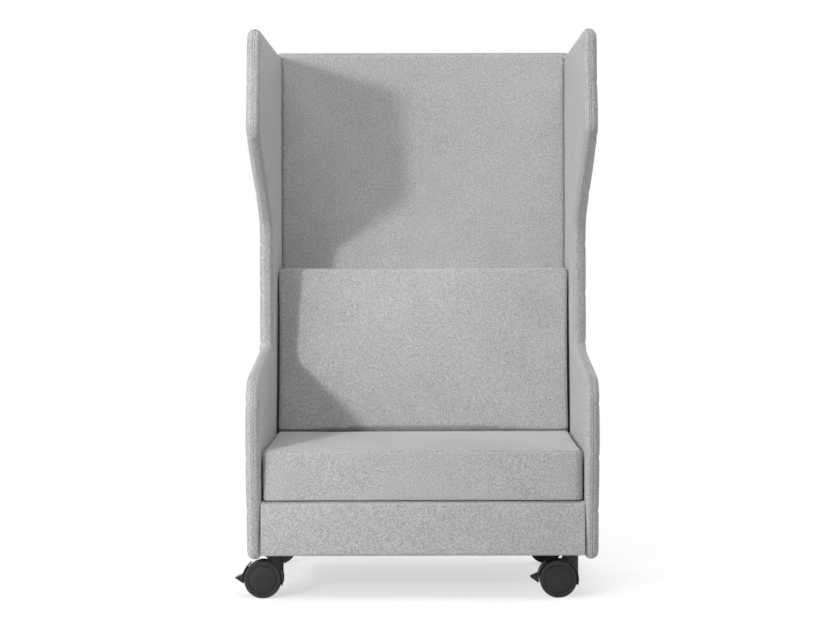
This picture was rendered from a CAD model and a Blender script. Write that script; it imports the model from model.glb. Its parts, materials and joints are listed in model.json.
"""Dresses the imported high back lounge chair: felt covers, cushions, castors, floor and light.

Lengths are in metres and colours are sRGB hex values. X runs to the right seen from
the front, the front faces -Y and Z points up. Every shape is worked out with numpy on
a grid of two parameters, and the formula of each is given in words where it is made.
"""

from __future__ import annotations

import json
import logging
import math
from dataclasses import dataclass
from enum import Enum
from typing import Any, Callable, Sequence

import bmesh
import bpy
import numpy as np
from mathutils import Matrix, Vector

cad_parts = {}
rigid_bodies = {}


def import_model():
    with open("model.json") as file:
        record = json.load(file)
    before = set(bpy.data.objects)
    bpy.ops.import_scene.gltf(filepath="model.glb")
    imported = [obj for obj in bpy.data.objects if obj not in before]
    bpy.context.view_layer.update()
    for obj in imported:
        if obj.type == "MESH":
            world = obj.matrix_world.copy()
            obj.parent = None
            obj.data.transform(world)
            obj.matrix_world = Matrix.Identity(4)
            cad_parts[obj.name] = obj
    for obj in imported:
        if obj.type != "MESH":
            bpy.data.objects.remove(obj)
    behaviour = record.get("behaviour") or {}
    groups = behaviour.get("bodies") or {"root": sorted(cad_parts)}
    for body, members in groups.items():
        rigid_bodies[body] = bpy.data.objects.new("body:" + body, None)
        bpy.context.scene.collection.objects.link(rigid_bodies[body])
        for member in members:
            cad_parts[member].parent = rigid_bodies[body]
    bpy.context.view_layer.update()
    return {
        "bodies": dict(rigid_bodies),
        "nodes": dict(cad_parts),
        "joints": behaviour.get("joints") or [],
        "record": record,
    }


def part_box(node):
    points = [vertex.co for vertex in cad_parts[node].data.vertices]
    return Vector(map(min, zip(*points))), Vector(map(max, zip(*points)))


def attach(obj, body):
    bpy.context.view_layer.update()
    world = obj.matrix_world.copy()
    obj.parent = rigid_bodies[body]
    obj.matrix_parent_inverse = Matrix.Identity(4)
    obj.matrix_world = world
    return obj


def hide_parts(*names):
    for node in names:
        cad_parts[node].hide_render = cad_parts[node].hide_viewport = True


LOG = logging.getLogger("lounge_chair")
Placing = Callable[[np.ndarray], np.ndarray]
MM = 0.001
CHAIR = "chair"
WELD = 0.02 * MM
SHARP_DEG = 60.0
WHITE = (1.0, 1.0, 1.0, 1.0)


# Colour and shader helpers


def linear(code: str) -> tuple[float, float, float, float]:
    """Turns an sRGB hex colour into linear red, green, blue and alpha.

    Args:
        code: the colour as "#RRGGBB".

    Returns:
        Four linear values, the last one 1.
    """
    parts = [int(code[i : i + 2], 16) / 255 for i in (1, 3, 5)]
    low, gain, offset, power = 0.04045, 12.92, 0.055, 2.4
    values = [c / gain if c <= low else ((c + offset) / (1 + offset)) ** power for c in parts]
    return (values[0], values[1], values[2], 1.0)


def add(
    tree: bpy.types.NodeTree,
    kind: str,
    settings: dict[str, Any] | None = None,
    links: dict[str, bpy.types.NodeSocket] | None = None,
) -> bpy.types.Node:
    """Adds a shader node with its settings and links.

    Args:
        tree: the node tree that the node goes into.
        kind: the node's type name.
        settings: values for its inputs, where the name is an input's, or else attributes.
        links: sockets that feed its inputs, by input name.

    Returns:
        The new node.
    """
    node = tree.nodes.new(kind)
    for name, value in (settings or {}).items():
        key = int(name) if name.isdigit() else name
        if name.isdigit() or name in node.inputs:
            node.inputs[key].default_value = value
        else:
            setattr(node, name, value)
    for name, socket in (links or {}).items():
        tree.links.new(socket, node.inputs[int(name) if name.isdigit() else name])
    return node


def per_mm(size: float) -> float:
    """Gives a noise scale for a feature of a size in millimetres, on coordinates in metres."""
    return 1 / (size * MM)


def emptied_tree(owner: bpy.types.Material | bpy.types.World) -> bpy.types.NodeTree:
    """Switches on the nodes of a material or world and clears them.

    Args:
        owner: the material or world.

    Returns:
        Its empty node tree.
    """
    owner.use_nodes = True
    owner.node_tree.nodes.clear()
    return owner.node_tree


def new_material(name: str) -> tuple[bpy.types.Material, bpy.types.NodeTree, bpy.types.Node]:
    """Makes a material that holds only a Principled shader and its output.

    Args:
        name: the material's name.

    Returns:
        The material, its node tree and its Principled shader.
    """
    material = bpy.data.materials.new(name)
    tree = emptied_tree(material)
    shader = add(tree, "ShaderNodeBsdfPrincipled")
    add(tree, "ShaderNodeOutputMaterial", links={"Surface": shader.outputs["BSDF"]})
    return material, tree, shader


# Finishes


@dataclass(frozen=True)
class WoolFelt:
    """Fulled wool felt in mixed light grey fibres, which gives a soft, dry, mottled face."""

    name: str = "wool_felt"
    light: str = "#DEDEDE"
    middle: str = "#C8C8C8"
    dark: str = "#A6A6A6"
    stops: tuple[float, float, float] = (0.38, 0.5, 0.62)
    fleck_mm: float = 3.6
    thread_mm: float = 1.7
    thread_stretch: float = 0.4
    patch_mm: float = 90.0
    fibre_share: float = 0.34
    patch_share: float = 0.05
    bump_mm: float = 0.22
    roughness: float = 0.94
    sheen: float = 0.5
    sheen_roughness: float = 0.5

    def build(self) -> bpy.types.Material:
        """Builds the felt: flecks of mixed fibres, faint level and upright threads and a soft nap.

        Returns:
            The material.
        """
        material, tree, shader = new_material(self.name)
        place = add(tree, "ShaderNodeTexCoord").outputs["Object"]
        fleck = add(
            tree,
            "ShaderNodeTexNoise",
            {"Scale": per_mm(self.fleck_mm), "Detail": 2.0, "Roughness": 0.6},
            {"Vector": place},
        )
        threads = []
        for stretch in ((self.thread_stretch, self.thread_stretch, 1.0), (1.0, 1.0, self.thread_stretch)):
            along = add(tree, "ShaderNodeMapping", {"Scale": stretch}, {"Vector": place})
            threads.append(
                add(
                    tree,
                    "ShaderNodeTexNoise",
                    {"Scale": per_mm(self.thread_mm), "Detail": 2.0, "Roughness": 0.65},
                    {"Vector": along.outputs["Vector"]},
                )
            )
        fibre = add(
            tree,
            "ShaderNodeMix",
            {"data_type": "FLOAT", "Factor": 0.5},
            {"2": threads[0].outputs["Fac"], "3": threads[1].outputs["Fac"]},
        )
        patch = add(
            tree,
            "ShaderNodeTexNoise",
            {"Scale": per_mm(self.patch_mm), "Detail": 1.0},
            {"Vector": place},
        )
        mixed = add(
            tree,
            "ShaderNodeMix",
            {"data_type": "FLOAT", "Factor": self.fibre_share},
            {"2": fleck.outputs["Fac"], "3": fibre.outputs[0]},
        )
        tone = add(
            tree,
            "ShaderNodeMix",
            {"data_type": "FLOAT", "Factor": self.patch_share},
            {"2": mixed.outputs[0], "3": patch.outputs["Fac"]},
        )
        ramp = add(tree, "ShaderNodeValToRGB", links={"Fac": tone.outputs[0]})
        stops = ramp.color_ramp.elements
        stops[0].position, stops[0].color = self.stops[0], linear(self.dark)
        stops[1].position, stops[1].color = self.stops[2], linear(self.light)
        stops.new(self.stops[1]).color = linear(self.middle)
        nap = add(
            tree,
            "ShaderNodeBump",
            {"Strength": 0.5, "Distance": self.bump_mm * MM},
            {"Height": mixed.outputs[0]},
        )
        tree.links.new(ramp.outputs["Color"], shader.inputs["Base Color"])
        tree.links.new(nap.outputs["Normal"], shader.inputs["Normal"])
        shader.inputs["Roughness"].default_value = self.roughness
        shader.inputs["IOR"].default_value = 1.45
        shader.inputs["Specular IOR Level"].default_value = 0.15
        shader.inputs["Sheen Weight"].default_value = self.sheen
        shader.inputs["Sheen Roughness"].default_value = self.sheen_roughness
        return material


@dataclass(frozen=True)
class MouldedNylon:
    """Black glass-filled nylon, injection moulded with a fine spark-eroded grain."""

    name: str = "moulded_nylon"
    base: str = "#2B2B2C"
    grain_mm: float = 0.8
    wear_mm: float = 18.0
    roughness: float = 0.42
    bump_mm: float = 0.03

    def build(self) -> bpy.types.Material:
        """Builds the nylon: a near black body colour whose grain breaks up its soft gloss.

        Returns:
            The material.
        """
        material, tree, shader = new_material(self.name)
        place = add(tree, "ShaderNodeTexCoord").outputs["Object"]
        grain = add(
            tree,
            "ShaderNodeTexNoise",
            {"Scale": per_mm(self.grain_mm), "Detail": 2.0},
            {"Vector": place},
        )
        wear = add(
            tree,
            "ShaderNodeTexNoise",
            {"Scale": per_mm(self.wear_mm), "Detail": 3.0, "Roughness": 0.65},
            {"Vector": place},
        )
        gloss = add(
            tree,
            "ShaderNodeMapRange",
            {
                "From Min": 0.3,
                "From Max": 0.7,
                "To Min": self.roughness - 0.06,
                "To Max": self.roughness + 0.1,
            },
            {"Value": wear.outputs["Fac"]},
        )
        bump = add(
            tree,
            "ShaderNodeBump",
            {"Strength": 0.6, "Distance": self.bump_mm * MM},
            {"Height": grain.outputs["Fac"]},
        )
        shader.inputs["Base Color"].default_value = linear(self.base)
        tree.links.new(gloss.outputs["Result"], shader.inputs["Roughness"])
        tree.links.new(bump.outputs["Normal"], shader.inputs["Normal"])
        shader.inputs["IOR"].default_value = 1.53
        return material


@dataclass(frozen=True)
class SoftTread:
    """Dark grey polyurethane tread, cast smooth and dulled by running on floors."""

    name: str = "polyurethane_tread"
    clean: str = "#333334"
    dusty: str = "#454545"
    dust_mm: float = 9.0
    bump_mm: float = 0.05
    roughness: float = 0.6

    def build(self) -> bpy.types.Material:
        """Builds the tread: a dull dark grey with faint dusty patches.

        Returns:
            The material.
        """
        material, tree, shader = new_material(self.name)
        place = add(tree, "ShaderNodeTexCoord").outputs["Object"]
        dust = add(
            tree,
            "ShaderNodeTexNoise",
            {"Scale": per_mm(self.dust_mm), "Detail": 4.0, "Roughness": 0.7},
            {"Vector": place},
        )
        ramp = add(tree, "ShaderNodeValToRGB", links={"Fac": dust.outputs["Fac"]})
        stops = ramp.color_ramp.elements
        stops[0].position, stops[0].color = 0.45, linear(self.clean)
        stops[1].position, stops[1].color = 0.8, linear(self.dusty)
        bump = add(
            tree,
            "ShaderNodeBump",
            {"Strength": 0.4, "Distance": self.bump_mm * MM},
            {"Height": dust.outputs["Fac"]},
        )
        tree.links.new(ramp.outputs["Color"], shader.inputs["Base Color"])
        tree.links.new(bump.outputs["Normal"], shader.inputs["Normal"])
        shader.inputs["Roughness"].default_value = self.roughness
        shader.inputs["IOR"].default_value = 1.5
        return material


@dataclass(frozen=True)
class ZincSteel:
    """Mild steel, turned or pressed and zinc plated, which gives a pale blurred shine."""

    name: str = "zinc_plated_steel"
    base: str = "#B9BCC0"
    spangle_mm: float = 3.0

    def build(self) -> bpy.types.Material:
        """Builds the steel: a metal whose roughness wanders with the plating's spangle.

        Returns:
            The material.
        """
        material, tree, shader = new_material(self.name)
        place = add(tree, "ShaderNodeTexCoord").outputs["Object"]
        spangle = add(
            tree,
            "ShaderNodeTexNoise",
            {"Scale": per_mm(self.spangle_mm), "Detail": 3.0},
            {"Vector": place},
        )
        gloss = add(
            tree,
            "ShaderNodeMapRange",
            {"From Min": 0.3, "From Max": 0.7, "To Min": 0.26, "To Max": 0.44},
            {"Value": spangle.outputs["Fac"]},
        )
        shader.inputs["Base Color"].default_value = linear(self.base)
        shader.inputs["Metallic"].default_value = 1.0
        tree.links.new(gloss.outputs["Result"], shader.inputs["Roughness"])
        return material


class Grain(Enum):
    """The axis that a board's grain runs along, as stretches of the pattern's coordinates."""

    ALONG_X = (0.06, 1.0, 1.0)
    ALONG_Y = (1.0, 0.06, 1.0)
    ALONG_Z = (1.0, 1.0, 0.06)


@dataclass(frozen=True)
class SawnWood:
    """Sawn and sanded timber or veneer: bands of early and late wood with fine pores."""

    name: str
    light: str
    dark: str
    ring_mm: float = 7.0
    pore_mm: float = 0.9
    bump_mm: float = 0.08
    roughness: float = 0.62
    grain: Grain = Grain.ALONG_X

    def build(self) -> bpy.types.Material:
        """Builds the wood: stretched noise for rings and finer stretched noise for pores.

        Returns:
            The material.
        """
        material, tree, shader = new_material(self.name)
        place = add(tree, "ShaderNodeTexCoord").outputs["Object"]
        along = add(tree, "ShaderNodeMapping", {"Scale": self.grain.value}, {"Vector": place})
        rings = add(
            tree,
            "ShaderNodeTexNoise",
            {"Scale": per_mm(self.ring_mm), "Detail": 2.0, "Distortion": 0.6},
            {"Vector": along.outputs["Vector"]},
        )
        pores = add(
            tree,
            "ShaderNodeTexNoise",
            {"Scale": per_mm(self.pore_mm), "Detail": 2.0},
            {"Vector": along.outputs["Vector"]},
        )
        mixed = add(
            tree,
            "ShaderNodeMix",
            {"data_type": "FLOAT", "Factor": 0.3},
            {"2": rings.outputs["Fac"], "3": pores.outputs["Fac"]},
        )
        ramp = add(tree, "ShaderNodeValToRGB", links={"Fac": mixed.outputs[0]})
        stops = ramp.color_ramp.elements
        stops[0].position, stops[0].color = 0.36, linear(self.dark)
        stops[1].position, stops[1].color = 0.62, linear(self.light)
        bump = add(
            tree,
            "ShaderNodeBump",
            {"Strength": 0.3, "Distance": self.bump_mm * MM},
            {"Height": pores.outputs["Fac"]},
        )
        tree.links.new(ramp.outputs["Color"], shader.inputs["Base Color"])
        tree.links.new(bump.outputs["Normal"], shader.inputs["Normal"])
        shader.inputs["Roughness"].default_value = self.roughness
        shader.inputs["IOR"].default_value = 1.5
        return material


@dataclass(frozen=True)
class LiningCloth:
    """Thin dark spun-bonded cloth, whose pressed dots show as a fine regular dimple."""

    name: str = "lining_cloth"
    base: str = "#38383A"
    dot_mm: float = 2.0
    bump_mm: float = 0.15
    roughness: float = 0.9

    def build(self) -> bpy.types.Material:
        """Builds the cloth: a dark matt colour with a dimple at each bonding dot.

        Returns:
            The material.
        """
        material, tree, shader = new_material(self.name)
        place = add(tree, "ShaderNodeTexCoord").outputs["Object"]
        dots = add(
            tree,
            "ShaderNodeTexVoronoi",
            {"Scale": per_mm(self.dot_mm), "Randomness": 0.15},
            {"Vector": place},
        )
        bump = add(
            tree,
            "ShaderNodeBump",
            {"Strength": 0.5, "Distance": self.bump_mm * MM},
            {"Height": dots.outputs["Distance"]},
        )
        shader.inputs["Base Color"].default_value = linear(self.base)
        tree.links.new(bump.outputs["Normal"], shader.inputs["Normal"])
        shader.inputs["Roughness"].default_value = self.roughness
        shader.inputs["Sheen Weight"].default_value = 0.1
        return material


# Mesh helpers


class Skin:
    """Gathers grids of points into one mesh, and welds them where they meet."""

    def __init__(self) -> None:
        """Starts an empty skin."""
        self.points: list[np.ndarray] = []
        self.faces: list[np.ndarray] = []
        self.count = 0

    def grid(self, points: np.ndarray, closed_u: bool = False, closed_v: bool = False) -> None:
        """Adds a grid of points with a quad between each four neighbours.

        Args:
            points: an array of rows by columns by 3.
            closed_u: joins the last row to the first.
            closed_v: joins the last column to the first.
        """
        rows, columns = points.shape[:2]
        u = np.arange(rows if closed_u else rows - 1)
        v = np.arange(columns if closed_v else columns - 1)
        uu, vv = np.meshgrid(u, v, indexing="ij")
        un, vn = (uu + 1) % rows, (vv + 1) % columns
        quads = np.stack(
            [uu * columns + vv, un * columns + vv, un * columns + vn, uu * columns + vn], axis=-1
        ).reshape(-1, 4)
        self.points.append(points.reshape(-1, 3))
        self.faces.append(quads + self.count)
        self.count += rows * columns

    def fan(self, rim: np.ndarray, middle: np.ndarray) -> None:
        """Closes a ring of points with faces that meet in one point.

        Args:
            rim: the ring, 1 by points by 3.
            middle: the point that they meet in, 1 by 1 by 3.
        """
        self.grid(np.vstack([rim, np.broadcast_to(middle, rim.shape)]), closed_v=True)

    def build(self, name: str) -> bpy.types.Object:
        """Makes the object, with doubles merged, normals outwards and smooth faces.

        Args:
            name: the piece's name.

        Returns:
            The new object, linked to the scene.
        """
        mesh = bpy.data.meshes.new(name)
        mesh.from_pydata(np.vstack(self.points).tolist(), [], np.vstack(self.faces).tolist())
        form = bmesh.new()
        form.from_mesh(mesh)
        bmesh.ops.remove_doubles(form, verts=form.verts, dist=WELD)
        bmesh.ops.dissolve_degenerate(form, edges=form.edges, dist=WELD / 4)
        bmesh.ops.recalc_face_normals(form, faces=form.faces)
        form.to_mesh(mesh)
        form.free()
        shade(mesh)
        piece = bpy.data.objects.new(name, mesh)
        bpy.context.scene.collection.objects.link(piece)
        return piece


def shade(mesh: bpy.types.Mesh) -> None:
    """Shades a mesh smooth, and leaves its edges past SHARP_DEG sharp.

    Args:
        mesh: the mesh.
    """
    mesh.polygons.foreach_set("use_smooth", np.ones(len(mesh.polygons), bool))
    mesh.set_sharp_from_angle(angle=math.radians(SHARP_DEG))
    mesh.update()


def coordinates(mesh: bpy.types.Mesh) -> np.ndarray:
    """Reads a mesh's points.

    Args:
        mesh: the mesh.

    Returns:
        An array of n by 3.
    """
    points = np.empty(len(mesh.vertices) * 3)
    mesh.vertices.foreach_get("co", points)
    return points.reshape(-1, 3)


def set_coordinates(mesh: bpy.types.Mesh, points: np.ndarray) -> None:
    """Moves a mesh's points.

    Args:
        mesh: the mesh.
        points: an array of n by 3, in the order of the mesh's points.
    """
    mesh.vertices.foreach_set("co", points.ravel())
    mesh.update()


def waves(points: np.ndarray, length: float, seed: int) -> np.ndarray:
    """Gives a smooth uneven value at each point, between about -1 and 1.

    It is the mean of six sine waves of nearly one wavelength, each with its own
    direction and phase, drawn from a fixed seed.

    Args:
        points: an array whose last axis holds x, y and z.
        length: the wavelength.
        seed: chooses the directions and phases.

    Returns:
        The values, in the shape of points without its last axis.
    """
    draw = np.random.default_rng(seed)
    total = np.zeros(points.shape[:-1])
    count, full_turn, spread = 6, 6.28, 1.6
    for _ in range(count):
        direction = draw.normal(size=3)
        direction /= np.linalg.norm(direction)
        rate = 2 * math.pi / (length * draw.uniform(0.7, 1.4))
        total += np.sin(points @ direction * rate + draw.uniform(0, full_turn))
    return total / count * spread


# Panel outlines


@dataclass(frozen=True)
class Corner:
    """One corner of a panel's outline: its place across, its height and its radius."""

    across: float
    height: float
    radius: float = 0.0


class Outline:
    """A panel's outline with rounded corners, run so that the panel lies on its right.

    A rounded corner has about one point for each step of its turn.
    """

    least_radius: float = 0.5 * MM
    step: float = math.radians(2.5)

    def __init__(self, corners: Sequence[Corner]) -> None:
        """Keeps the corners.

        Args:
            corners: the outline's corners from one lower end to the upper one.
        """
        self.places = np.array([(c.across, c.height) for c in corners])
        self.radii = np.array([c.radius for c in corners])
        self.low, self.high = corners[0].height, corners[-1].height

    def drawn_in(self, inset: float) -> np.ndarray:
        """Moves each corner inwards along its mitre, so that both its edges move by inset.

        Args:
            inset: the distance inwards.

        Returns:
            The moved corners, n by 2.
        """
        runs = np.diff(self.places, axis=0)
        runs /= np.linalg.norm(runs, axis=1)[:, None]
        normals = np.stack([runs[:, 1], -runs[:, 0]], axis=1)
        before = np.vstack([normals[:1], normals])
        after = np.vstack([normals, normals[-1:]])
        cosine = (before * after).sum(1, keepdims=True)
        return self.places + inset * (before + after) / (1 + cosine)

    def rounded(self, inset: float = 0.0) -> np.ndarray:
        """Gives the outline drawn in by inset, each corner an arc tangent to both its edges.

        Args:
            inset: the distance inwards.

        Returns:
            Points as across and height, from the lower end to the upper one.
        """
        places = self.drawn_in(inset)
        points = [places[0]]
        for i in range(1, len(places) - 1):
            u1 = places[i] - places[i - 1]
            u2 = places[i + 1] - places[i]
            u1, u2 = u1 / np.linalg.norm(u1), u2 / np.linalg.norm(u2)
            turn = math.acos(min(1.0, float(u1 @ u2)))
            hand = -1.0 if u1[0] * u2[1] - u1[1] * u2[0] < 0 else 1.0
            radius = max(self.radii[i] + hand * inset, self.least_radius)
            start = places[i] - radius * math.tan(turn / 2) * u1
            centre = start - hand * radius * np.array([u1[1], -u1[0]])
            angles = hand * np.linspace(0, turn, max(3, math.ceil(turn / self.step)))
            arm = start - centre
            cosines, sines = np.cos(angles), np.sin(angles)
            turned = [arm[0] * cosines - arm[1] * sines, arm[0] * sines + arm[1] * cosines]
            points.extend(centre + np.stack(turned, axis=1))
        points.append(places[-1])
        return np.array(points)

    def across(self, inset: float, heights: np.ndarray) -> np.ndarray:
        """Looks up the place across of the drawn-in outline's edge at each height.

        Args:
            inset: the distance inwards.
            heights: the heights.

        Returns:
            The places across, one for each height.
        """
        points = self.rounded(inset)[1:-1]
        return np.interp(heights, points[:, 1], points[:, 0])

    def path(self, spacing: float) -> tuple[np.ndarray, np.ndarray]:
        """Gives even points along the outline and the inward direction at each.

        Args:
            spacing: the distance between two points.

        Returns:
            The points and the unit inward directions, each n by 2.
        """
        points = self.rounded()
        lengths = np.concatenate([[0], np.cumsum(np.linalg.norm(np.diff(points, axis=0), axis=1))])
        wanted = np.linspace(0, lengths[-1], int(lengths[-1] / spacing) + 1)
        even = np.stack([np.interp(wanted, lengths, points[:, k]) for k in (0, 1)], axis=1)
        runs = np.gradient(even, axis=0)
        runs /= np.linalg.norm(runs, axis=1)[:, None]
        return even, np.stack([runs[:, 1], -runs[:, 0]], axis=1)


@dataclass(frozen=True)
class Roll:
    """How a cover turns over a panel's edge: a quarter ellipse that tucks in at its seam."""

    width: float
    depth: float
    tuck: float = 0.9 * MM
    tuck_width: float = 1.3 * MM
    steps: int = 16
    gathering: float = 1.35

    def profile(self) -> tuple[np.ndarray, np.ndarray, np.ndarray, np.ndarray]:
        """Works out the roll from its seam to the panel's face.

        At angle t from 0 to a quarter turn, the distance in from the panel's edge is
        width times (1 - cos t) and the distance down from its face is depth times
        (1 - sin t). Close to the seam the cover turns in by up to tuck. The points lie
        closer together there, as even steps raised to the power of gathering.

        Returns:
            The insets, the depths, and the inward share along each of the two.
        """
        t = 0.5 * math.pi * np.linspace(0, 1, self.steps) ** self.gathering
        insets = self.width * (1 - np.cos(t))
        depths = self.depth * (1 - np.sin(t))
        insets = insets + self.tuck * np.exp(-(((self.depth - depths) / self.tuck_width) ** 2))
        return insets, depths, np.cos(t), np.sin(t)


@dataclass(frozen=True)
class Channels:
    """Level sewn lines that pull the cover in, at equal steps down from the first one."""

    first: float
    pitch: float = 142 * MM
    depth: float = 1.7 * MM
    reach: float = 13.0 * MM
    stitch_depth: float = 0.3 * MM
    stitch_reach: float = 1.6 * MM
    crown: float = 0.9 * MM
    crown_power: float = 0.8
    most: int = 30
    rows_mm: tuple[float, ...] = (0, 0.8, 1.6, 3, 5, 7.5, 10, 13)

    def heights(self, low: float, margin: float) -> np.ndarray:
        """Lists the heights of the sewn lines that lie margin or more above low."""
        found = self.first - self.pitch * np.arange(self.most)
        return found[found > low + margin]

    def rows(self) -> np.ndarray:
        """Lists the rows of points that each sewn line needs, from below it to above."""
        above = np.array(self.rows_mm) * MM
        return np.concatenate([-above[:0:-1], above])

    def dip(self, z: np.ndarray) -> np.ndarray:
        """Gives how far the cover lies in at a height.

        It is depth times the square of (1 - distance / reach), a narrower dent at the
        thread, and less a low arch between two lines.

        Args:
            z: heights.

        Returns:
            Distances inwards, negative where the cover stands out.
        """
        phase = np.maximum((self.first - z) / self.pitch, -0.5)
        away = np.abs(phase - np.round(phase)) * self.pitch
        wide = self.depth * np.clip(1 - away / self.reach, 0, 1) ** 2
        narrow = self.stitch_depth * np.clip(1 - away / self.stitch_reach, 0, 1)
        arch = self.crown * np.clip(away / (self.pitch / 2), 0, 1) ** self.crown_power
        return wide + narrow - arch


@dataclass(frozen=True)
class Crease:
    """Where the side panels' rear edges press into the back panel's front cover."""

    place: float
    top: float
    width: float = 17 * MM
    depth: float = 8.5 * MM
    fade: float = 30 * MM
    hidden: float = 8 * MM
    near_count: int = 10
    beyond_mm: tuple[float, ...] = (3, 8, 12)

    def columns(self) -> np.ndarray:
        """Lists the places across, on both sides, where the cover needs its points.

        Returns:
            The places, in no order.
        """
        near = self.place - self.width * (1 - np.sin(np.linspace(0, math.pi / 2, self.near_count)))
        beyond = self.place + np.array(self.beyond_mm) * MM
        return np.concatenate([-near, -beyond, near, beyond])

    def dip(self, across: np.ndarray, z: np.ndarray) -> np.ndarray:
        """Gives how far the cover lies in.

        Towards the crease it falls along a quarter ellipse of the given width and depth.
        It stays there for the length of hidden, behind the side panel's edge, comes back
        evenly over as much again, and fades out just below top.

        Args:
            across: places across.
            z: heights.

        Returns:
            Distances inwards.
        """
        s = np.clip((np.abs(across) - self.place + self.width) / self.width, 0, 1)
        beyond = np.clip((np.abs(across) - self.place - self.hidden) / self.hidden, 0, 1)
        rise = np.clip((self.top - z) / self.fade, 0, 1)
        return self.depth * (1 - np.sqrt(1 - s**2)) * (1 - beyond) * np.sqrt(rise)


@dataclass(frozen=True)
class PadSizes:
    """Sizes that the panels' pads share.

    The last ones set how close the grid's rows and columns lie, how much of the dip a slope
    and the rear edge take, and how uneven the cover is.
    """

    rise: float
    rear_width: float = 4.0 * MM
    flange: float = 4.2 * MM
    row_step: float = 5.0 * MM
    fine_step: float = 1.6 * MM
    least_step: float = 0.6 * MM
    flat_slope: float = 1.5
    steepest: float = 1.2
    apart: float = 0.01 * MM
    least_share: float = 0.0004
    rear_dip_share: float = 0.5
    column_count: int = 44
    rear_columns: int = 5
    unevenness: float = 0.35 * MM
    wave_length: float = 170 * MM


def merged_levels(levels: Sequence[np.ndarray], gap: float) -> np.ndarray:
    """Sorts levels and leaves out each that lies within gap of the one before it.

    Args:
        levels: arrays of levels.
        gap: the least distance between two of them.

    Returns:
        The kept levels, with the highest one as the last.
    """
    ordered = np.sort(np.concatenate(levels))
    kept = [ordered[0]]
    for value in ordered[1:]:
        if value - kept[-1] > gap:
            kept.append(value)
    kept[-1] = ordered[-1]
    return np.array(kept)


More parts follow.
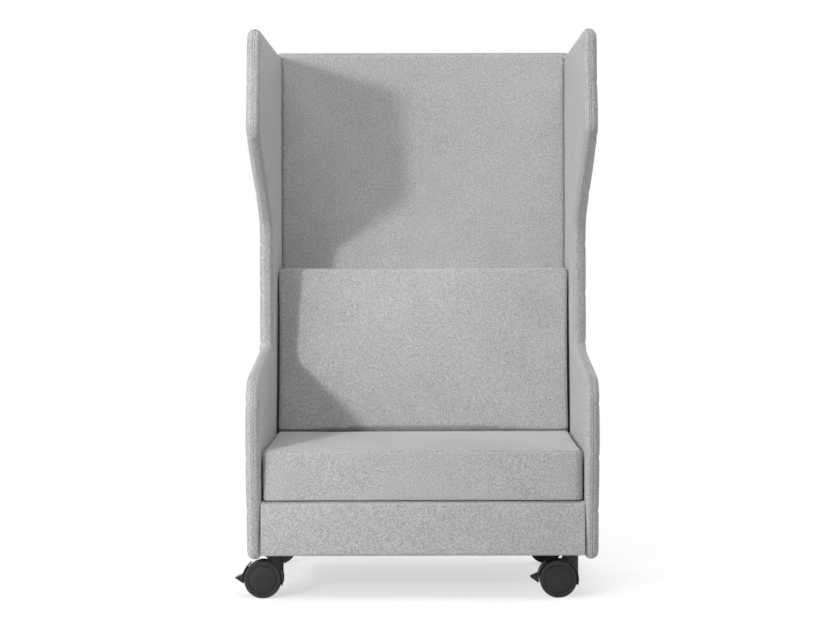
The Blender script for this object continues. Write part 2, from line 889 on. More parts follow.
class PanelPad:
    """One padded cover of a panel, as a closed form over the panel's core."""

    def __init__(
        self,
        outline: Outline,
        roll: Roll,
        sizes: PadSizes,
        far: float | None,
        channels: Channels | None = None,
        crease: Crease | None = None,
    ) -> None:
        """Keeps what the pad is made from.

        Args:
            outline: the panel's outline, with the pad on its right.
            roll: how the cover turns over the outline's edge.
            sizes: the pads' shared sizes.
            far: the place across of the pad's straight far edge, or None where the pad is
                the same on both sides of the mid plane.
            channels: the sewn lines, or None for a smooth cover.
            crease: where other panels press into the cover, if they do.
        """
        self.outline, self.roll, self.sizes = outline, roll, sizes
        self.far, self.channels, self.crease = far, channels, crease

    def levels(self, insets: np.ndarray) -> tuple[np.ndarray, np.ndarray]:
        """Chooses the rows' heights, and each row's index in the roll at the upper and lower edge.

        Args:
            insets: the roll's insets from the seam inwards.

        Returns:
            The heights, and for each the roll's index, which is its last one in the middle.
        """
        low, high = self.outline.low, self.outline.high
        width = insets[-1]
        steps = [np.arange(low + width, high - width, self.sizes.row_step)]
        edge = self.outline.rounded()[1:-1]
        flat = np.abs(np.diff(edge[:, 0])) > self.sizes.flat_slope * np.abs(np.diff(edge[:, 1]))
        for low_z, high_z in zip(edge[:-1][flat, 1], edge[1:][flat, 1]):
            steps.append(np.arange(low_z, high_z, self.sizes.fine_step))
        if self.channels is not None:
            for z in self.channels.heights(low, width):
                steps.append(z + self.channels.rows())
        inside = [s[(s > low + width + MM) & (s < high - width - MM)] for s in steps]
        inner = merged_levels(inside, self.sizes.least_step)
        last = len(insets) - 1
        heights = np.concatenate([low + insets, inner, (high - insets)[::-1]])
        order = np.arange(len(insets))
        index = np.concatenate([order, np.full(len(inner), last), order[::-1]])
        return heights, index

    def grids(self) -> tuple[np.ndarray, np.ndarray]:
        """Works out the cover's face and its underside.

        A point in row j and column k lies as far in from the outline as the roll's k-th
        inset, at row j's height. Its depth is that of the roll's index min(j, k), so the
        roll runs round the whole edge, and the sewn lines' dip moves it inwards along the
        roll's normal.

        Returns:
            Two arrays of rows by columns by 3, which hold place across, depth below the
            panel's face, and height.
        """
        insets, depths, inward, downward = self.roll.profile()
        heights, row_index = self.levels(insets)
        last = len(insets) - 1
        dip = np.zeros_like(heights) if self.channels is None else self.channels.dip(heights)
        dip = dip * np.clip(row_index / last, 0, 1)
        near = []
        for k, inset in enumerate(insets):
            edge = self.outline.across(inset, heights)
            slope = (self.outline.across(inset + MM, heights) - edge) / MM
            lean = np.clip(slope, 0, self.sizes.steepest)
            near.append(edge + lean * dip * inward[k] + k * self.sizes.apart)
        near_grid = np.stack(near, axis=1)
        if self.far is None:
            far_grid = -near_grid[:, ::-1]
            far_index = np.arange(last, -1, -1)
        else:
            t = 0.5 * math.pi * np.linspace(1, 0, self.sizes.rear_columns)
            far_insets = self.sizes.rear_width * (1 - np.cos(t))
            far_grid = np.repeat((self.far - far_insets)[None], len(heights), axis=0)
            far_index = np.full(len(t), last)
        share = np.linspace(0, 1, self.sizes.column_count + 2)[1:-1]
        if self.crease is not None:
            reach = np.abs(near_grid[:, -1]).max()
            places = (self.crease.columns() / reach + 1) / 2
            share = merged_levels([share, places[(places > 0) & (places < 1)]], self.sizes.least_share)
        middle = near_grid[:, -1:] + (far_grid[:, :1] - near_grid[:, -1:]) * share
        across = np.concatenate([near_grid, middle, far_grid], axis=1)
        columns = np.concatenate([np.arange(last + 1), np.full(len(share), last), far_index])
        index = np.minimum(row_index[:, None], columns[None, :])
        depth = depths[index] + dip[:, None] * downward[index]
        if self.far is not None:
            far_drop = np.zeros(across.shape[1])
            far_drop[-len(t) :] = self.sizes.rear_width * (1 - np.sin(t))
            depth = np.maximum(depth, far_drop[None] + dip[:, None] * self.sizes.rear_dip_share)
        height = np.repeat(heights[:, None], across.shape[1], axis=1)
        if self.crease is not None:
            depth = np.maximum(depth, self.crease.dip(across, height))
        face = np.stack([across, depth, height], axis=-1)
        under = face.copy()
        under[..., 1] = np.where(insets[index] < self.sizes.flange, self.roll.depth, self.sizes.rise)
        return face, under

    def build(self, name: str, place: Placing, seed: int) -> bpy.types.Object:
        """Makes the pad.

        Args:
            name: the piece's name.
            place: turns across, depth and height into x, y and z.
            seed: chooses the cover's slight unevenness.

        Returns:
            The pad's object.
        """
        face, under = self.grids()
        settled = np.clip((self.roll.depth - face[..., 1]) / self.roll.depth, 0, 1) ** 2
        face[..., 1] += waves(face, self.sizes.wave_length, seed) * self.sizes.unevenness * settled
        skin = Skin()
        skin.grid(place(face))
        skin.grid(place(under))
        if self.far is not None:
            skin.grid(place(np.stack([face[:, -1], under[:, -1]], axis=1)))
        return skin.build(name)


class EdgeBand:
    """The narrow band between the two seams round a panel's edge."""

    spacing: float = 4 * MM

    def __init__(self, outline: Outline, near: float, far: float, mirrored: bool = False) -> None:
        """Keeps what the band is made from.

        Args:
            outline: the panel's outline.
            near: the depth of its seam with the outer cover.
            far: the depth of its seam with the inner cover.
            mirrored: whether the outline goes on round the other side of the mid plane.
        """
        self.outline, self.near, self.far, self.mirrored = outline, near, far, mirrored

    def grid(self) -> np.ndarray:
        """Carries a low arch with a groove at both seams along the outline.

        Returns:
            An array of places by profile points by 3: across, depth and height.
        """
        places, inward = self.outline.path(self.spacing)
        if self.mirrored:
            places = np.vstack([places, (places * [-1, 1])[::-1]])
            inward = np.vstack([inward, (inward * [-1, 1])[::-1]])
        share = np.array([-0.03, 0.0, 0.06, 0.16, 0.32, 0.5, 0.68, 0.84, 0.94, 1.0, 1.03])
        lift = np.array([-2.6, -1.2, -0.25, 0.25, 0.42, 0.46, 0.42, 0.25, -0.25, -1.2, -2.6]) * MM
        depth = self.near + (self.far - self.near) * share
        flat = places[:, None, :] - inward[:, None, :] * lift[None, :, None]
        return np.stack([flat[..., 0], np.broadcast_to(depth, flat.shape[:2]), flat[..., 1]], axis=-1)

    def build(self, name: str, place: Placing) -> bpy.types.Object:
        """Makes the band as a closed strip.

        Args:
            name: the piece's name.
            place: turns across, depth and height into x, y and z.

        Returns:
            The band's object.
        """
        grid = self.grid()
        skin = Skin()
        skin.grid(place(grid), closed_u=self.mirrored, closed_v=True)
        if not self.mirrored:
            for end in (grid[:1], grid[-1:]):
                skin.fan(place(end), place(end.mean(axis=1, keepdims=True)))
        return skin.build(name)


# The shell


@dataclass
class Shell:
    """The three upholstered panels, placed by the frame, with their outlines' corners in real sizes.

    Each of the sides has its name, its direction along X and the seeds that make its outer
    and inner covers slightly uneven.
    """

    arm_front: Corner = Corner(0.0, 590 * MM, 88 * MM)
    knee: Corner = Corner(0.0, 410 * MM, 200 * MM)
    foot_setback: float = 43 * MM
    foot_radius: float = 28 * MM
    neck_depth: float = 325 * MM
    neck_low: Corner = Corner(0.0, 655 * MM, 30 * MM)
    neck_high: Corner = Corner(0.0, 1011 * MM, 50 * MM)
    wing_low: Corner = Corner(24.5 * MM, 1238 * MM, 45 * MM)
    first_line_drop: float = 149.5 * MM
    wing_top: Corner = Corner(68.5 * MM, 0.0, 45 * MM)
    back_radius: float = 38 * MM
    outer_roll: Roll = Roll(width=18 * MM, depth=17 * MM)
    inner_roll: Roll = Roll(width=22 * MM, depth=14.5 * MM, steps=20)
    back_roll: Roll = Roll(width=19 * MM, depth=22.2 * MM)
    slack: float = 0.1 * MM
    rear_roll: float = 7 * MM
    back_columns: int = 60
    crease_offset: float = 1.5 * MM
    crease_drop: float = 4 * MM
    sides: tuple[tuple[str, float, int, int], ...] = (("left", -1.0, 11, 21), ("right", 1.0, 12, 22))
    back_seeds: tuple[int, int] = (31, 32)

    def __post_init__(self) -> None:
        """Reads the panels' places from the frame."""
        outer_low, outer_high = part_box("right_outer_pad")
        inner_low, inner_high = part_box("right_inner_pad")
        front_low, front_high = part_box("back_front_pad")
        _, rear_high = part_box("back_rear_pad")
        self.half_width, self.front = outer_high.x, outer_low.y
        self.bottom, self.top = outer_low.z, outer_high.z
        self.inner = inner_low.x
        self.back_face, self.back_top, self.rear = front_low.y, rear_high.z, rear_high.y
        self.side_outline = Outline(
            [
                Corner(self.back_face, self.bottom),
                Corner(self.front + self.foot_setback, self.bottom, self.foot_radius),
                Corner(self.front, self.knee.height, self.knee.radius),
                Corner(self.front, self.arm_front.height, self.arm_front.radius),
                Corner(self.back_face - self.neck_depth, self.neck_low.height, self.neck_low.radius),
                Corner(self.back_face - self.neck_depth, self.neck_high.height, self.neck_high.radius),
                Corner(self.front + self.wing_low.across, self.wing_low.height, self.wing_low.radius),
                Corner(self.front + self.wing_top.across, self.top, self.wing_top.radius),
                Corner(self.back_face, self.top),
            ]
        )
        self.back_outline = Outline(
            [
                Corner(0.0, self.bottom),
                Corner(-self.half_width, self.bottom, self.back_radius),
                Corner(-self.half_width, self.back_top, self.back_radius),
                Corner(0.0, self.back_top),
            ]
        )
        self.channels = Channels(self.top - self.first_line_drop)
        self.side_rise = inner_high.x - inner_low.x - self.slack
        self.back_rise = front_high.y - front_low.y - self.slack

    def build(self, felt: bpy.types.Material) -> None:
        """Makes the six pads and the three edge bands, and puts them in the nodes' places.

        Args:
            felt: the cover's material.
        """
        thickness = self.half_width - self.inner
        for side, hand, outer_seed, inner_seed in self.sides:

            def outwards(p: np.ndarray, hand: float = hand) -> np.ndarray:
                """Places a point by its depth below the panel's outer face."""
                return np.stack([hand * (self.half_width - p[..., 1]), p[..., 0], p[..., 2]], axis=-1)

            def inwards(p: np.ndarray, hand: float = hand) -> np.ndarray:
                """Places a point by its depth below the panel's inner face."""
                return np.stack([hand * (self.inner + p[..., 1]), p[..., 0], p[..., 2]], axis=-1)

            sizes = PadSizes(self.side_rise, rear_width=self.rear_roll)
            outer = PanelPad(self.side_outline, self.outer_roll, sizes, self.back_face, self.channels)
            inner = PanelPad(self.side_outline, self.inner_roll, sizes, self.back_face)
            band = EdgeBand(self.side_outline, self.outer_roll.depth, thickness - self.inner_roll.depth)
            cover = outer.build(f"{side}_outer_cover", outwards, outer_seed)
            settle(cover, felt, f"{side}_outer_pad")
            cover = inner.build(f"{side}_inner_cover", inwards, inner_seed)
            settle(cover, felt, f"{side}_inner_pad")
            settle(band.build(f"{side}_seam_band", outwards), felt, f"{side}_edge_band")
        back_t = self.rear - self.back_face
        back_sizes = PadSizes(self.back_rise, column_count=self.back_columns)

        def forwards(p: np.ndarray) -> np.ndarray:
            """Places a point by its depth behind the back panel's front face."""
            return np.stack([p[..., 0], self.back_face + p[..., 1], p[..., 2]], axis=-1)

        def rearwards(p: np.ndarray) -> np.ndarray:
            """Places a point by its depth before the back panel's rear face."""
            return np.stack([p[..., 0], self.rear - p[..., 1], p[..., 2]], axis=-1)

        crease = Crease(self.inner + self.crease_offset, self.top - self.crease_drop)
        front = PanelPad(self.back_outline, self.back_roll, back_sizes, None, crease=crease)
        rear = PanelPad(self.back_outline, self.back_roll, back_sizes, None, self.channels)
        band = EdgeBand(self.back_outline, self.back_roll.depth, back_t - self.back_roll.depth, True)
        front_seed, rear_seed = self.back_seeds
        settle(front.build("back_front_cover", forwards, front_seed), felt, "back_front_pad")
        settle(rear.build("back_rear_cover", rearwards, rear_seed), felt, "back_rear_pad")
        settle(band.build("back_seam_band", forwards), felt, "back_edge_band")


def settle(
    piece: bpy.types.Object,
    material: bpy.types.Material,
    node: str,
) -> None:
    """Dresses a piece, puts it on the chair's body and lets it stand for its node.

    Args:
        piece: the object.
        material: its material.
        node: the CAD node that it stands for.
    """
    piece.data.materials.clear()
    piece.data.materials.append(material)
    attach(piece, CHAIR)
    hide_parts(node)
    LOG.info("%s: %d faces", piece.name, len(piece.data.polygons))


# Cushions


@dataclass(frozen=True)
class Swelling:
    """How a cushion is swelled by a cloth simulation."""

    voxel: float = 8.0 * MM
    pressure: float = 4.0
    frames: int = 20
    quality: int = 4
    mass: float = 0.3
    most: float = 5.0 * MM
    stiffness: float = 40.0
    bending: float = 1.0
    blur: float = 9.0 * MM
    block: int = 200

    def run(self, piece: bpy.types.Object, limit: Placing) -> None:
        """Swells an evenly remeshed copy as cloth, and carries its movement over to the piece.

        Args:
            piece: the cushion, whose points are moved.
            limit: moves points back into the room that the cushion has.
        """
        context = bpy.context
        twin = bpy.data.objects.new(f"{piece.name}_cloth", piece.data.copy())
        context.scene.collection.objects.link(twin)
        remesh = twin.modifiers.new("even", "REMESH")
        remesh.mode = "VOXEL"
        remesh.voxel_size = self.voxel
        with context.temp_override(object=twin, active_object=twin):
            bpy.ops.object.modifier_apply(modifier=remesh.name)
        start = coordinates(twin.data)
        cloth = twin.modifiers.new("swell", "CLOTH")
        settings = cloth.settings
        settings.quality = self.quality
        settings.mass = self.mass
        settings.tension_stiffness = self.stiffness
        settings.compression_stiffness = self.stiffness
        settings.shear_stiffness = self.stiffness / 2
        settings.bending_stiffness = self.bending
        settings.use_pressure = True
        settings.uniform_pressure_force = self.pressure
        settings.effector_weights.gravity = 0.0
        cloth.point_cache.frame_start = 1
        cloth.point_cache.frame_end = self.frames
        for frame in range(1, self.frames + 1):
            context.scene.frame_set(frame)
        swelled = coordinates(twin.evaluated_get(context.evaluated_depsgraph_get()).data)
        context.scene.frame_set(1)
        cloth_mesh = twin.data
        bpy.data.objects.remove(twin)
        bpy.data.meshes.remove(cloth_mesh)
        move = swelled - start
        length = np.linalg.norm(move, axis=1, keepdims=True)
        LOG.info("%s: %d cloth points, swelled up to %.1f mm", piece.name, len(move), length.max() / MM)
        move = move * min(1.0, self.most / float(length.max()))
        points = coordinates(piece.data)
        set_coordinates(piece.data, limit(points + self.carried(points, start, move)))

    def carried(self, points: np.ndarray, start: np.ndarray, move: np.ndarray) -> np.ndarray:
        """Works out the movement at other points, as a mean that weighs near points most.

        The weight of a moved point falls with the square of its distance over blur, as a
        bell curve does.

        Args:
            points: where the movement is wanted.
            start: where the moved points were.
            move: how far each of them moved.

        Returns:
            The movement at each of the wanted points.
        """
        found = []
        for block in np.array_split(points, max(1, len(points) // self.block)):
            squares = (block**2).sum(1)[:, None] + (start**2).sum(1)[None] - 2 * block @ start.T
            nearest = squares.min(axis=1, keepdims=True)
            weights = np.exp((nearest - squares) / (2 * self.blur**2))
            found.append(weights @ move / weights.sum(axis=1, keepdims=True))
        return np.vstack(found)


@dataclass
class Cushion:
    """A boxed cushion with rounded corners, drawn-in sides and a crowned face.

    It is worked out on a box of half sizes a and b and a depth h, with the crowned face
    at depth h, and then leant and moved into place.
    """

    half_a: float
    half_b: float
    depth: float
    crown: float
    corner: float = 26 * MM
    edge: float = 11 * MM
    foot: float = 5 * MM
    pull: float = 3.0 * MM
    seam_depth: float = 2.0 * MM
    seam_reach: float = 1.2 * MM
    least_radius: float = 4 * MM
    arc_points: int = 9
    side_points: int = 24
    under_rings: int = 24
    side_rings: int = 14
    face_rings: int = 30
    hole_share: float = 0.02
    seam_deg: tuple[float, ...] = (0, 2.8, 5.5, 8.5, 13, 21, 32, 45)

    def ring(self, inset: float, share: float, level: float) -> np.ndarray:
        """Gives a rounded rectangle of points at one level.

        Each side is drawn in between its corners by pull times (1 - the square of the
        place along it), and the whole is scaled about its middle by share.

        Args:
            inset: how far the rectangle is drawn in.
            share: the scale about the middle.
            level: the height of the ring.

        Returns:
            An array of points by 3.
        """
        a, b = self.half_a - inset, self.half_b - inset
        r = max(self.corner - inset / 2, self.least_radius)
        turn = np.linspace(0, math.pi / 2, self.arc_points)
        pieces = []
        for q, (sa, sb) in enumerate(((1, -1), (1, 1), (-1, 1), (-1, -1))):
            centre = np.array([sa * (a - r), sb * (b - r)])
            start = (q - 1) * math.pi / 2
            arc = centre + r * np.stack([np.cos(start + turn), np.sin(start + turn)], axis=1)
            ta, tb = ((1, 1), (-1, 1), (-1, -1), (1, -1))[q]
            following = np.array([ta * (a - r), tb * (b - r)])
            leave = centre + r * np.array([math.cos(start + math.pi / 2), math.sin(start + math.pi / 2)])
            arrive = following + (leave - centre)
            along = np.linspace(0, 1, self.side_points)[1:-1, None]
            pieces += [arc, leave + (arrive - leave) * along]
        flat = np.vstack(pieces)
        drawn_x = flat[:, 0] * (1 - self.pull / self.half_a * (1 - (flat[:, 1] / self.half_b) ** 2))
        drawn_y = flat[:, 1] * (1 - self.pull / self.half_b * (1 - (flat[:, 0] / self.half_a) ** 2))
        return np.stack([drawn_x * share, drawn_y * share, np.full(len(flat), level)], axis=1)

    def rounded_edge(self, rise: float) -> tuple[np.ndarray, np.ndarray]:
        """Works out a rounded edge with its seam's groove in the middle.

        At angle t the round lies edge times (1 - cos t) in from the side and rise times
        (1 - sin t) below the face. The seam scales it about its centre by 1 less the
        share seam_depth / edge times a bell curve of the distance from the middle.

        Args:
            rise: how far the round reaches down the side.

        Returns:
            The distances in from the side and below the face, from the side to the face.
        """
        half = np.radians(self.seam_deg)
        away = np.concatenate([-half[:0:-1], half])
        t = math.pi / 4 + away
        scale = 1 - self.seam_depth / self.edge * np.exp(-((away * self.edge / self.seam_reach) ** 2))
        return self.edge * (1 - scale * np.cos(t)), rise * (1 - scale * np.sin(t))

    def rings(self) -> np.ndarray:
        """Stacks the rings: flat underside, rounded edge, side, rounded edge, crowned face.

        The face rises from its edge to its middle as a quarter sine wave of the height crown.

        Returns:
            An array of rings by points by 3.
        """
        under = [self.ring(self.edge, s, 0.0) for s in np.linspace(self.hole_share, 1, self.under_rings)[:-1]]
        insets, drops = self.rounded_edge(self.foot)
        lower = [self.ring(i, 1, d) for i, d in zip(insets[::-1], drops[::-1])]
        straight = np.linspace(self.foot, self.depth - self.edge, self.side_rings)[1:-1]
        side = [self.ring(0.0, 1, z) for z in straight]
        insets, drops = self.rounded_edge(self.edge)
        upper = [self.ring(i, 1, self.depth - d) for i, d in zip(insets, drops)]
        shares = np.linspace(0, 1, self.face_rings)[1:-1]
        heights = [self.depth + self.crown * math.sin(math.pi / 2 * s) for s in shares]
        face = [self.ring(self.edge, 1 - s, z) for s, z in zip(shares, heights)]
        return np.array(under + lower + side + upper + face)

    def skin(self, place: Placing) -> Skin:
        """Makes the closed skin, with a small fan over each end.

        Args:
            place: turns the box's coordinates into x, y and z.

        Returns:
            The skin.
        """
        rings = self.rings()
        skin = Skin()
        skin.grid(place(rings), closed_v=True)
        for end in (rings[:1], rings[-1:]):
            skin.fan(place(end), place(end.mean(axis=1, keepdims=True)))
        return skin


@dataclass(frozen=True)
class Press:
    """How the back cushion's face turns in where it bears on the seat cushion."""

    depth: float = 11 * MM
    rise: float = 8 * MM
    corner_width: float = 26 * MM
    corner_rise: float = 6 * MM
    fade: float = 22 * MM
    below: float = 2 * MM
    reach: float = 35 * MM
    lower_rows: int = 5
    upper_rows: int = 13

    def shape(self, piece: bpy.types.Object, level: float, half: float, rear: float) -> None:
        """Cuts rows into the cushion round the seat's top, and moves its face back there.

        Above the bearing line, which climbs by corner_rise at both ends, the face turns in
        along a quarter ellipse of the given rise and depth. From the distance below under
        the seat's top, the face comes forward again evenly over fade.

        Args:
            piece: the back cushion.
            level: the height of the seat's top.
            half: half the cushion's width.
            rear: only points before this place from front to rear are moved.
        """
        form = bmesh.new()
        form.from_mesh(piece.data)
        lower = np.linspace(-self.fade - self.below, -self.below, self.lower_rows)
        upper = np.linspace(0, self.rise + self.corner_rise, self.upper_rows)
        for step in np.concatenate([lower, upper]):
            everything = form.verts[:] + form.edges[:] + form.faces[:]
            bmesh.ops.bisect_plane(form, geom=everything, plane_co=(0, 0, level + step), plane_no=(0, 0, 1))
        form.to_mesh(piece.data)
        form.free()
        shade(piece.data)
        points = coordinates(piece.data)
        near_end = np.clip((np.abs(points[:, 0]) - half + self.corner_width) / self.corner_width, 0, 1)
        height = points[:, 2] - level - self.corner_rise * near_end**2
        s = np.clip(1 - height / self.rise, 0, 1)
        regained = np.clip((points[:, 2] - level + self.fade + self.below) / self.fade, 0, 1)
        back = self.depth * (1 - np.sqrt(1 - s**2)) * regained
        points[:, 1] += np.where(points[:, 1] < rear, back, 0)
        set_coordinates(piece.data, points)


@dataclass
class Seating:
    """The seat cushion and the back cushion. Their places are read from the frame."""

    lean_deg: float = 6.8
    foot: float = 105.5 * MM
    deck: float = 264.0 * MM
    seat_crown: float = 9 * MM
    seat_foot: float = 3.0 * MM
    back_crown: float = 7 * MM
    back_corner: float = 14 * MM
    joint: float = 1.4 * MM
    least_joint: float = 1.2 * MM
    front_room: float = 1.5 * MM
    face_room: float = 2 * MM
    top_room: float = 3 * MM
    seat_room: float = 4 * MM
    lift: float = 2.6 * MM
    lift_reach: float = 90 * MM
    rear_rise: float = 6.0 * MM
    press: Press = Press()
    swelling: Swelling = Swelling()

    def __post_init__(self) -> None:
        """Reads the cushions' places from the frame."""
        self.seat_low, self.seat_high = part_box("seat_cushion")
        self.back_low, self.back_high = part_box("back_cushion")
        self.half, self.front = self.seat_high.x, self.seat_low.y
        self.seat_half = (self.foot - self.front) / 2
        self.seat_depth = self.seat_high.z - self.seat_crown - self.seat_low.z
        self.back_half = (self.back_high.z - self.back_low.z) / 2
        self.back_depth = self.back_high.y - self.foot

    def lean_y(self, z: np.ndarray) -> np.ndarray:
        """Gives the back cushion's front at a height, a plane that leans back."""
        return self.foot + (z - self.deck) * math.tan(math.radians(self.lean_deg))

    def lifted(self, y: np.ndarray) -> np.ndarray:
        """Gives how far the seat cushion's underside lies off the base, by place from front to rear."""
        return self.lift * np.clip(1 - (y - self.front) / self.lift_reach, 0, 1) ** 2

    def build(self, felt: bpy.types.Material) -> None:
        """Makes both cushions.

        Args:
            felt: the cover's material.
        """
        box = Cushion(self.half, self.seat_half, self.seat_depth, self.seat_crown, foot=self.seat_foot)
        seat = self.swelled(box.skin(self.on_deck).build("seat_cushion_cover"), self.in_seat)
        settle(seat, felt, "seat_cushion")
        box = Cushion(self.half, self.back_half, self.back_depth, self.back_crown, corner=self.back_corner)
        back = self.swelled(box.skin(self.at_back).build("back_cushion_cover"), self.in_back)
        self.press_in(back)
        settle(back, felt, "back_cushion")

    def swelled(self, piece: bpy.types.Object, room: Placing) -> bpy.types.Object:
        """Swells a cushion, unless the run is a quick one.

        Args:
            piece: the cushion.
            room: moves points back into the room that it has.

        Returns:
            The same object.
        """
        self.swelling.run(piece, room)
        return piece

    def on_deck(self, p: np.ndarray) -> np.ndarray:
        """Lays the seat's box on the deck, its front edge lifted and its rear at the back cushion.

        Args:
            p: points of the box.

        Returns:
            The same points in the chair.
        """
        z = self.seat_low.z + p[..., 2]
        reach = self.lean_y(z) - self.joint - self.front
        share = (p[..., 1] + self.seat_half) / (2 * self.seat_half)
        y = self.front + share * reach
        up = p[..., 2] / self.seat_depth
        return np.stack([p[..., 0], y, z + self.lifted(y) * (1 - up) + self.rear_rise * share * up], axis=-1)

    def in_seat(self, p: np.ndarray) -> np.ndarray:
        """Keeps the seat cushion clear of the deck, the panels and the back cushion.

        Args:
            p: the swelled points.

        Returns:
            The points within the cushion's room.
        """
        x = np.clip(p[:, 0], -self.half, self.half)
        z = np.maximum(p[:, 2], self.seat_low.z + self.lifted(p[:, 1]))
        y = np.clip(p[:, 1], self.front - self.front_room, self.lean_y(z) - self.least_joint)
        return np.stack([x, y, z], axis=1)

    def at_back(self, p: np.ndarray) -> np.ndarray:
        """Stands the back cushion's box against the back panel, its face leaning back.

        Args:
            p: points of the box.

        Returns:
            The same points in the chair.
        """
        z = (self.back_high.z + self.back_low.z) / 2 + p[..., 1]
        reach = self.back_high.y - self.lean_y(z)
        return np.stack([p[..., 0], self.back_high.y - p[..., 2] / self.back_depth * reach, z], axis=-1)

    def in_back(self, p: np.ndarray) -> np.ndarray:
        """Keeps the back cushion clear of the panels and of the seat cushion.

        Args:
            p: the swelled points.

        Returns:
            The points within the cushion's room.
        """
        x = np.clip(p[:, 0], -self.half, self.half)
        z = np.clip(p[:, 2], self.back_low.z, self.back_high.z + self.top_room)
        behind_seat = z < self.seat_high.z + self.seat_room
        least = np.where(behind_seat, self.lean_y(z), self.back_low.y - self.face_room)
        return np.stack([x, np.clip(p[:, 1], least, self.back_high.y), z], axis=1)

    def press_in(self, piece: bpy.types.Object) -> None:
        """Turns the back cushion's face in at the height of the seat's top.

        Args:
            piece: the back cushion.
        """
        seat_top = self.seat_low.z + self.seat_depth + self.rear_rise
        rear = self.lean_y(np.array(seat_top)) + self.press.reach
        self.press.shape(piece, seat_top, self.half, rear)


# The base


@dataclass
class Base:
    """The padded front of the base and the cloth over its deck."""

    thick: float = 12 * MM
    radius: float = 9 * MM
    upper_radius: float = 2.5 * MM
    bulge: float = 1.2 * MM
    lip_drop: float = 5.6 * MM
    end_draw: float = 3.0 * MM
    end_reach: float = 7.0 * MM
    columns: int = 60
    round_points: int = 7
    front_points: int = 14
    end_points: int = 8
    lip_share: tuple[float, float] = (0.6, 0.4)
    cloth_rows: tuple[int, int] = (90, 66)
    cloth_wall: float = 0.6 * MM
    cloth_drop: float = 0.2 * MM
    cloth_wave: float = 0.5 * MM
    cloth_wave_length: float = 120 * MM
    cloth_seed: int = 5

    def section(self) -> np.ndarray:
        """Works out the padded front's section as places from front to rear and heights.

        It runs up the front with two quarter rounds, whose upper one lies lip_drop below
        the deck's cover, and back over the deck. Between the rounds the front stands out
        as half a sine wave of the height bulge.

        Returns:
            The closed section's points, n by 2.
        """
        low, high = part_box("front_apron")
        deck_low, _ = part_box("deck_cloth")
        rear, cover = low.y + self.thick, high.z - deck_low.z
        r, top_r = self.radius, self.upper_radius
        lip = high.z - self.lip_drop
        quarter = np.linspace(0, math.pi / 2, self.round_points)
        z = np.linspace(low.z + r, lip - top_r, self.front_points)
        bulge = self.bulge * np.sin(math.pi * (z - z[0]) / (z[-1] - z[0]))
        upper_y = low.y + top_r * (1 - np.cos(quarter))
        upper_z = lip - top_r * (1 - np.sin(quarter))
        lip_y, lip_z = low.y + self.lip_share[0] * self.thick, lip + self.lip_share[1] * self.lip_drop
        return np.vstack(
            [
                [[rear, low.z]],
                np.stack([low.y + r - r * np.sin(quarter), low.z + r - r * np.cos(quarter)], axis=1),
                np.stack([low.y - bulge, z], axis=1)[1:-1],
                np.stack([upper_y, upper_z], axis=1),
                [[lip_y, lip_z], [rear, high.z], [high.y, high.z]],
                [[high.y, high.z - cover], [rear, high.z - cover]],
            ]
        )

    def apron(self) -> Skin:
        """Carries the padded front's section along X.

        Towards both ends it is drawn in by end_draw along a quarter circle, so that the
        padding rounds off.

        Returns:
            The closed skin.
        """
        low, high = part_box("front_apron")
        rear, half = low.y + self.thick, high.x
        section = self.section()
        t = np.linspace(0, 1, self.end_points)
        ends = half - self.end_reach * (1 - np.sin(t * math.pi / 2))[::-1]
        draw = self.end_draw * (1 - np.cos(t * math.pi / 2))
        middle = np.linspace(-half + self.end_reach, half - self.end_reach, self.columns)
        x = np.concatenate([-ends[::-1][:-1], middle, ends[1:]])
        inset = np.concatenate([draw[::-1][:-1], np.zeros(self.columns), draw[1:]])
        centre = np.array([rear, (low.z + high.z) / 2])
        toward = np.sign(centre - section) * np.minimum(1, np.abs(centre - section) / (2 * self.end_draw))
        moved = section[None] + toward[None] * inset[:, None, None]
        grid = np.stack([np.broadcast_to(x[:, None], moved.shape[:2]), moved[..., 0], moved[..., 1]], axis=-1)
        skin = Skin()
        skin.grid(grid, closed_v=True)
        for end in (grid[:1], grid[-1:]):
            inner = end.copy()
            inner[..., 1] = np.clip(inner[..., 1], None, rear)
            skin.fan(end, inner.mean(axis=1, keepdims=True))
        return skin

    def build(self, felt: bpy.types.Material, lining: bpy.types.Material) -> None:
        """Makes the padded front and the cloth over the deck, which lies in low even waves.

        Args:
            felt: the cover's material.
            lining: the deck cloth's material.
        """
        settle(self.apron().build("base_front_cover"), felt, "front_apron")
        low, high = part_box("deck_cloth")
        across, along = self.cloth_rows
        u, v = np.meshgrid(
            np.linspace(low.x, high.x, across), np.linspace(low.y, high.y, along), indexing="ij"
        )
        rows = np.stack([u, v, np.full_like(u, high.z - self.cloth_drop)], axis=-1)
        rows[..., 2] -= self.cloth_wave * (waves(rows, self.cloth_wave_length, self.cloth_seed) + 1) / 2
        skin = Skin()
        skin.grid(rows)
        cloth = skin.build("deck_cloth_cover")
        wall = cloth.modifiers.new("wall", "SOLIDIFY")
        wall.thickness, wall.offset = self.cloth_wall, -1.0
        settle(cloth, lining, "deck_cloth")


# Castors and hidden pieces


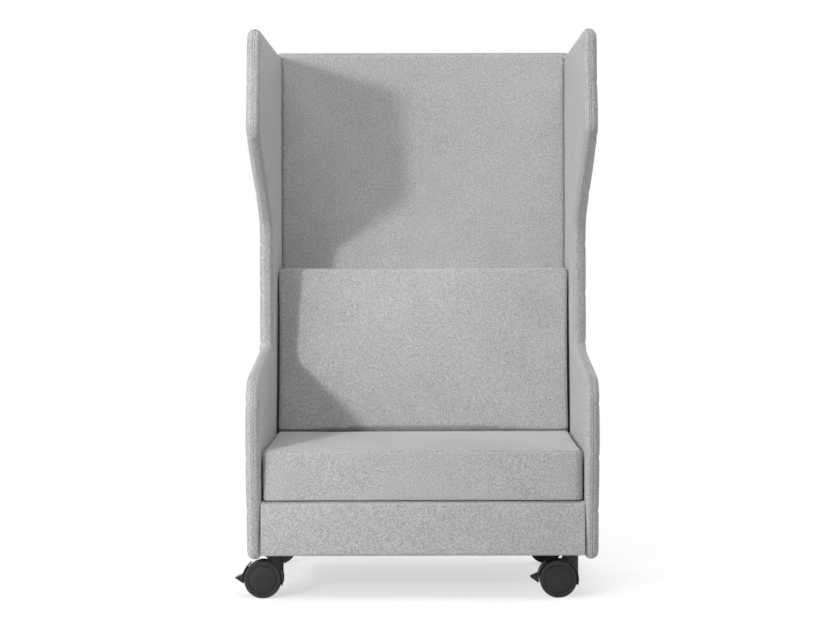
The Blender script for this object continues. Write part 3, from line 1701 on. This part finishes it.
class NodeFinishes:
    """Gives the CAD nodes that stay visible their materials."""

    edge_round: float = 0.6 * MM
    edge_deg: float = 40.0

    def __init__(self, frame: dict[str, Any]) -> None:
        """Builds the materials.
        """
        self.nodes = frame["nodes"]
        self.by_slot = {
            "plywood": SawnWood("birch_plywood", "#DCC7A0", "#C4A878").build(),
            "hardwood": SawnWood("beech_block", "#C9A073", "#A97E52", grain=Grain.ALONG_Y).build(),
            "board": SawnWood("black_hardboard", "#2E2A27", "#232120", ring_mm=2.5).build(),
            "steel": ZincSteel().build(),
            "nylon": MouldedNylon().build(),
            "tyre": SoftTread().build(),
        }

    def dress(self, slots: dict[str, str]) -> None:
        """Assigns the materials.

        Args:
            slots: each node's material slot.
        """
        for name, slot in slots.items():
            material = self.by_slot.get(slot)
            if material is None:
                continue
            data = self.nodes[name].data
            data.materials.clear()
            data.materials.append(material)
            if slot == "nylon":
                self.soften(self.nodes[name])
            LOG.info("%s: %s", name, material.name)

    def soften(self, piece: bpy.types.Object) -> None:
        """Rounds a moulded piece's sharp edges a little, as its mould does.

        Args:
            piece: the CAD node's object.
        """
        bevel = piece.modifiers.new("moulded_edge", "BEVEL")
        bevel.width, bevel.segments = self.edge_round, 2
        bevel.limit_method, bevel.angle_limit = "ANGLE", math.radians(self.edge_deg)
        bevel.harden_normals = False


# The stage


@dataclass(frozen=True)
class Camera:
    """The photograph's camera, level and a little above the chair's middle height."""

    place: tuple[float, float, float] = (0.022, -5.0575, 0.918)
    focal_mm: float = 76.05
    sensor_mm: float = 36.0
    shift: tuple[float, float] = (-0.0125, -0.0714)
    roll_deg: float = 0.12

    def build(self) -> None:
        """Makes the camera and sets it as the scene's."""
        data = bpy.data.cameras.new("camera")
        data.lens, data.sensor_width = self.focal_mm, self.sensor_mm
        data.shift_x, data.shift_y = self.shift
        camera = bpy.data.objects.new("camera", data)
        camera.location = self.place
        camera.rotation_euler = (math.radians(90), math.radians(self.roll_deg), 0.0)
        bpy.context.scene.collection.objects.link(camera)
        bpy.context.scene.camera = camera


@dataclass(frozen=True)
class Lamp:
    """A rectangular soft lamp, which the camera doesn't see."""

    name: str
    place: tuple[float, float, float]
    aim: tuple[float, float, float]
    size: tuple[float, float]
    power: float
    spread_deg: float = 180.0

    def build(self, scene: bpy.types.Scene) -> None:
        """Makes the lamp.

        Args:
            scene: the scene that it goes into.
        """
        data = bpy.data.lights.new(self.name, "AREA")
        data.shape, data.size, data.size_y = "RECTANGLE", *self.size
        data.energy = self.power
        data.spread = math.radians(self.spread_deg)
        lamp = bpy.data.objects.new(self.name, data)
        lamp.location = self.place
        lamp.rotation_euler = (Vector(self.aim) - Vector(self.place)).to_track_quat("-Z", "Y").to_euler()
        lamp.visible_camera = False
        scene.collection.objects.link(lamp)


@dataclass(frozen=True)
class Studio:
    """A white studio: two keys from the left front, soft lamps on both sides, above and behind."""

    lamps: tuple[Lamp, ...] = (
        Lamp("key", (-3.2, -5.28, 2.33), (-0.65, 0.2, 0.55), (0.4, 0.4), 9.2, 50.0),
        Lamp("near", (-1.3, -1.9, 1.2), (0.1, 0.1, 0.7), (0.45, 0.45), 2.6),
        Lamp("left", (-3.0, -2.2, 1.6), (0.0, 0.0, 0.8), (2.0, 2.0), 34.0),
        Lamp("top", (0.0, -1.3, 3.4), (0.0, 0.0, 0.3), (3.0, 2.4), 46.0),
        Lamp("right", (3.3, 1.0, 1.5), (0.0, 0.1, 0.8), (1.6, 1.6), 24.0),
        Lamp("backdrop", (0.0, 3.6, 1.4), (0.0, 0.0, 0.3), (6.0, 2.6), 92.0),
    )
    world_strength: float = 0.07
    mirrored_strength: float = 0.45
    floor_colour: str = "#F0F0F0"
    floor_gain: float = 0.66
    floor_lift: float = 0.612
    floor_fade: tuple[float, float] = (1.0, 2.2)
    floor_half: float = 3.4

    def build(self) -> None:
        """Makes the world, the lamps and the floor."""
        scene = bpy.context.scene
        scene.view_settings.view_transform = "Standard"
        self.world(scene)
        for lamp in self.lamps:
            lamp.build(scene)
        self.floor()

    def world(self, scene: bpy.types.Scene) -> None:
        """Makes a world that is white to the camera and through glass, and dimmer in gloss and as light.

        Args:
            scene: the scene that it goes into.
        """
        world = bpy.data.worlds.new("white_studio")
        scene.world = world
        tree = emptied_tree(world)
        path = add(tree, "ShaderNodeLightPath")
        mirrored = add(
            tree,
            "ShaderNodeMapRange",
            {"To Min": self.world_strength, "To Max": self.mirrored_strength},
            {"Value": path.outputs["Is Glossy Ray"]},
        )
        seen = add(
            tree,
            "ShaderNodeMath",
            {"operation": "MAXIMUM"},
            {"0": path.outputs["Is Camera Ray"], "1": path.outputs["Is Transmission Ray"]},
        )
        strength = add(
            tree,
            "ShaderNodeMapRange",
            {"To Max": 1.0},
            {"Value": seen.outputs[0], "To Min": mirrored.outputs["Result"]},
        )
        sky = add(
            tree,
            "ShaderNodeBackground",
            {"Color": WHITE},
            {"Strength": strength.outputs["Result"]},
        )
        add(tree, "ShaderNodeOutputWorld", links={"Surface": sky.outputs["Background"]})

    def floor(self) -> None:
        """Makes the floor: pale paint, which the camera sees lifted to white round the shadow.

        To the camera it is floor_gain times the lit paint plus floor_lift, as on a floor
        that is lit past the film's white, and over the distances of floor_fade from the
        chair it turns to plain white. To all other rays it is the paint alone.
        """
        half = self.floor_half
        corners = np.array([[[-half, -half, 0], [-half, half, 0]], [[half, -half, 0], [half, half, 0]]])
        skin = Skin()
        skin.grid(corners)
        ground = skin.build("floor")
        material = bpy.data.materials.new("pale_floor")
        tree = emptied_tree(material)
        gain = (self.floor_gain, self.floor_gain, self.floor_gain, 1.0)
        paint = add(tree, "ShaderNodeBsdfDiffuse", {"Color": linear(self.floor_colour)})
        seen_paint = add(tree, "ShaderNodeBsdfDiffuse", {"Color": gain})
        lift = add(tree, "ShaderNodeEmission", {"Color": WHITE, "Strength": self.floor_lift})
        seen = add(
            tree,
            "ShaderNodeAddShader",
            links={"0": seen_paint.outputs["BSDF"], "1": lift.outputs["Emission"]},
        )
        place = add(tree, "ShaderNodeTexCoord").outputs["Object"]
        away = add(tree, "ShaderNodeVectorMath", {"operation": "LENGTH"}, {"0": place})
        fade = add(
            tree,
            "ShaderNodeMapRange",
            {
                "interpolation_type": "SMOOTHSTEP",
                "From Min": self.floor_fade[0],
                "From Max": self.floor_fade[1],
            },
            {"Value": away.outputs["Value"]},
        )
        white = add(tree, "ShaderNodeEmission", {"Color": WHITE, "Strength": 1.0})
        shown = add(
            tree,
            "ShaderNodeMixShader",
            links={
                "Fac": fade.outputs["Result"],
                "1": seen.outputs["Shader"],
                "2": white.outputs["Emission"],
            },
        )
        path = add(tree, "ShaderNodeLightPath")
        mix = add(
            tree,
            "ShaderNodeMixShader",
            links={
                "Fac": path.outputs["Is Camera Ray"],
                "1": paint.outputs["BSDF"],
                "2": shown.outputs["Shader"],
            },
        )
        add(tree, "ShaderNodeOutputMaterial", links={"Surface": mix.outputs["Shader"]})
        ground.data.materials.append(material)


def main() -> None:
    """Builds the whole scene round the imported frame, in order."""
    logging.basicConfig(level=logging.INFO, format="%(name)s: %(message)s")
    Camera().build()
    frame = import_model()
    slots = {s["node"]: s["material_slot"] for s in frame["record"]["subparts"]}
    NodeFinishes(frame).dress(slots)
    felt = WoolFelt().build()
    Shell().build(felt)
    Seating().build(felt)
    Base().build(felt, LiningCloth().build())
    Studio().build()


if __name__ == "__main__":
    main()
